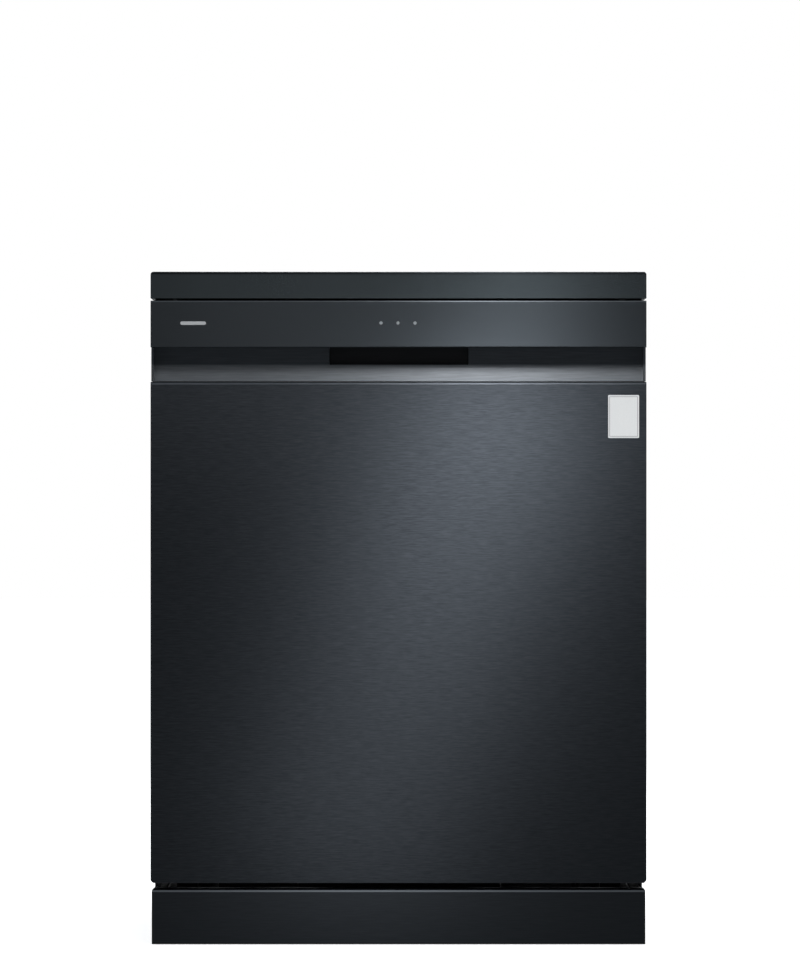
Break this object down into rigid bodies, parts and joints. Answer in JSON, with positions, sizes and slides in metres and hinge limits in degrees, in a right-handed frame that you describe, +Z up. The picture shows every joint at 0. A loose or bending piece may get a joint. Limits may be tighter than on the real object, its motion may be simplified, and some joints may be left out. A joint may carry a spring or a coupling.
{
  "type": "built-in dishwasher",
  "caption": "A 60 cm built-in dishwasher in dark brushed steel with a recessed full-width handle, drop-down door, wheeled lower rack, upper rack, cutlery tray and rotating spray arms",
  "frame": {"origin": "on the floor at the middle of the object's footprint", "axes": "+X to the right as one faces the door, +Y from the door to the back, +Z up"},
  "size_m": [0.6, 0.6, 0.815],
  "materials": {
    "black_steel": "horizontally brushed dark steel with a dark clear coat",
    "coated_wire": "grey nylon-coated steel wire",
    "dark_laminate": "dark board with a fine satin grain",
    "dark_paint": "satin dark grey paint",
    "dark_plastic": "fine-grained black plastic",
    "grey_plastic": "satin grey plastic",
    "lens": "clear light guide",
    "pale_plastic": "satin pale plastic",
    "pump_body": "grey glass-filled plastic",
    "rubber": "soft black rubber",
    "stainless": "bright brushed stainless steel",
    "zinc": "zinc-plated steel"
  },
  "bodies": {
    "cabinet": {"worktop": "dark_laminate", "side_panel_left": "dark_paint", "side_panel_right": "dark_paint", "rear_panel": "zinc", "base_tray": "dark_plastic", "plinth": "black_steel", "hinge_bracket_left": "zinc", "hinge_bracket_right": "zinc", "balance_spring_left": "zinc", "balance_spring_right": "zinc", "tub": "stainless", "door_gasket": "rubber", "lower_door_seal": "rubber", "latch_strike": "zinc", "sump": "dark_plastic", "filter_plate": "stainless", "spray_duct": "grey_plastic", "rack_rail_left": "stainless", "rack_rail_right": "stainless", "wash_pump": "pump_body", "drain_pump": "pump_body", "inlet_valve": "pale_plastic", "drain_outlet": "grey_plastic", "power_inlet": "dark_plastic"},
    "door": {"door_outer_panel": "black_steel", "handle_recess": "dark_plastic", "control_fascia": "black_steel", "indicator_lights": "lens", "control_board": "dark_plastic", "door_latch": "dark_plastic", "door_inner_panel": "stainless", "hinge_arm_left": "zinc", "hinge_arm_right": "zinc", "dispenser_body": "grey_plastic"},
    "upper_basket": {"upper_rack": "coated_wire", "rack_feed_pipe": "grey_plastic"},
    "lower_basket": {"lower_rack": "coated_wire"},
    "cutlery_drawer": {"cutlery_tray": "grey_plastic"},
    "lower_spray_arm_body": {"lower_spray_arm": "grey_plastic"},
    "top_spray_arm_body": {"top_spray_arm": "grey_plastic"},
    "middle_spray_arm_body": {"middle_spray_arm": "grey_plastic"},
    "rack_wheel_front_left_body": {"rack_wheel_front_left": "grey_plastic"},
    "rack_wheel_front_right_body": {"rack_wheel_front_right": "grey_plastic"},
    "rack_wheel_rear_left_body": {"rack_wheel_rear_left": "grey_plastic"},
    "rack_wheel_rear_right_body": {"rack_wheel_rear_right": "grey_plastic"},
    "foot_front_left_body": {"foot_front_left": "grey_plastic"},
    "foot_front_right_body": {"foot_front_right": "grey_plastic"},
    "foot_rear_left_body": {"foot_rear_left": "grey_plastic"},
    "foot_rear_right_body": {"foot_rear_right": "grey_plastic"},
    "filter_cup_body": {"filter_cup": "grey_plastic"},
    "salt_cap_body": {"salt_cap": "pale_plastic"},
    "float_body": {"float": "pale_plastic"},
    "dispenser_lid_body": {"dispenser_lid": "grey_plastic"},
    "rinse_aid_cap_body": {"rinse_aid_cap": "dark_plastic"},
    "key_power_body": {"key_power": "dark_plastic"},
    "key_program_body": {"key_program": "dark_plastic"},
    "key_option_body": {"key_option": "dark_plastic"},
    "key_start_body": {"key_start": "dark_plastic"},
    "cup_shelf_body": {"cup_shelf": "grey_plastic"},
    "folding_tines_body": {"folding_tines": "coated_wire"}
  },
  "joints": [
    {"name": "door_hinge", "type": "hinge", "parent": "cabinet", "child": "door", "pos_m": [0, -0.286, 0.105], "axis": [1, 0, 0], "range_deg": [0, 90]},
    {"name": "upper_rack_slide", "type": "slide", "parent": "cabinet", "child": "upper_basket", "axis": [0, -1, 0], "range_m": [0, 0.401]},
    {"name": "cutlery_tray_slide", "type": "slide", "parent": "cabinet", "child": "cutlery_drawer", "axis": [0, -1, 0], "range_m": [0, 0.401]},
    {"name": "lower_rack_slide", "type": "slide", "parent": "cabinet", "child": "lower_basket", "axis": [0, -1, 0], "range_m": [0, 0.158]},
    {"name": "lower_arm_spin", "type": "hinge", "parent": "cabinet", "child": "lower_spray_arm_body", "pos_m": [0, 0.01, 0.166], "axis": [0, 0, 1], "continuous": true},
    {"name": "top_arm_spin", "type": "hinge", "parent": "cabinet", "child": "top_spray_arm_body", "pos_m": [0, 0.01, 0.741], "axis": [0, 0, 1], "continuous": true},
    {"name": "middle_arm_spin", "type": "hinge", "parent": "upper_basket", "child": "middle_spray_arm_body", "pos_m": [0, 0.01, 0.418], "axis": [0, 0, 1], "continuous": true},
    {"name": "wheel_front_left_roll", "type": "hinge", "parent": "lower_basket", "child": "rack_wheel_front_left_body", "pos_m": [-0.254, -0.148, 0.155], "axis": [1, 0, 0], "continuous": true},
    {"name": "wheel_front_right_roll", "type": "hinge", "parent": "lower_basket", "child": "rack_wheel_front_right_body", "pos_m": [0.254, -0.148, 0.155], "axis": [1, 0, 0], "continuous": true},
    {"name": "wheel_rear_left_roll", "type": "hinge", "parent": "lower_basket", "child": "rack_wheel_rear_left_body", "pos_m": [-0.254, 0.15, 0.155], "axis": [1, 0, 0], "continuous": true},
    {"name": "wheel_rear_right_roll", "type": "hinge", "parent": "lower_basket", "child": "rack_wheel_rear_right_body", "pos_m": [0.254, 0.15, 0.155], "axis": [1, 0, 0], "continuous": true},
    {"name": "foot_front_left_turn", "type": "hinge", "parent": "cabinet", "child": "foot_front_left_body", "pos_m": [-0.25, -0.205, 0.01], "axis": [0, 0, 1], "continuous": true},
    {"name": "foot_front_right_turn", "type": "hinge", "parent": "cabinet", "child": "foot_front_right_body", "pos_m": [0.25, -0.205, 0.01], "axis": [0, 0, 1], "continuous": true},
    {"name": "foot_rear_left_turn", "type": "hinge", "parent": "cabinet", "child": "foot_rear_left_body", "pos_m": [-0.25, 0.25, 0.01], "axis": [0, 0, 1], "continuous": true},
    {"name": "foot_rear_right_turn", "type": "hinge", "parent": "cabinet", "child": "foot_rear_right_body", "pos_m": [0.25, 0.25, 0.01], "axis": [0, 0, 1], "continuous": true},
    {"name": "filter_cup_turn", "type": "hinge", "parent": "cabinet", "child": "filter_cup_body", "pos_m": [0, -0.072, 0.12], "axis": [0, 0, 1], "range_deg": [0, 60]},
    {"name": "salt_cap_turn", "type": "hinge", "parent": "cabinet", "child": "salt_cap_body", "pos_m": [-0.19, -0.165, 0.147], "axis": [0, 0, 1], "range_deg": [0, 270]},
    {"name": "overflow_float_lift", "type": "slide", "parent": "cabinet", "child": "float_body", "axis": [0, 0, 1], "range_m": [0, 0.011]},
    {"name": "dispenser_lid_slide", "type": "slide", "parent": "door", "child": "dispenser_lid_body", "axis": [0, 0, 1], "range_m": [0, 0.055]},
    {"name": "rinse_cap_turn", "type": "hinge", "parent": "door", "child": "rinse_aid_cap_body", "pos_m": [0.074, -0.262, 0.45], "axis": [0, 1, 0], "range_deg": [0, 90]},
    {"name": "key_power_press", "type": "slide", "parent": "door", "child": "key_power_body", "axis": [0, 0, -1], "range_m": [0, 0.0012], "stiffness_N_per_m": 400, "springref_m": -0.0005},
    {"name": "key_program_press", "type": "slide", "parent": "door", "child": "key_program_body", "axis": [0, 0, -1], "range_m": [0, 0.0012], "stiffness_N_per_m": 400, "springref_m": -0.0005},
    {"name": "key_option_press", "type": "slide", "parent": "door", "child": "key_option_body", "axis": [0, 0, -1], "range_m": [0, 0.0012], "stiffness_N_per_m": 400, "springref_m": -0.0005},
    {"name": "key_start_press", "type": "slide", "parent": "door", "child": "key_start_body", "axis": [0, 0, -1], "range_m": [0, 0.0012], "stiffness_N_per_m": 400, "springref_m": -0.0005},
    {"name": "cup_shelf_fold", "type": "hinge", "parent": "upper_basket", "child": "cup_shelf_body", "pos_m": [-0.229, -0.045, 0.559], "axis": [0, 1, 0], "range_deg": [0, 90]},
    {"name": "tine_row_fold", "type": "hinge", "parent": "lower_basket", "child": "folding_tines_body", "pos_m": [-0.108, 0.061, 0.196], "axis": [-1, 0, 0], "range_deg": [0, 85]}
  ],
  "couplings": [
    {"joint": "upper_rack_slide", "follows": "door_hinge", "m_per_rad": 0.255},
    {"joint": "cutlery_tray_slide", "follows": "door_hinge", "m_per_rad": 0.255},
    {"joint": "lower_rack_slide", "follows": "door_hinge", "m_per_rad": 0.1}
  ]
}
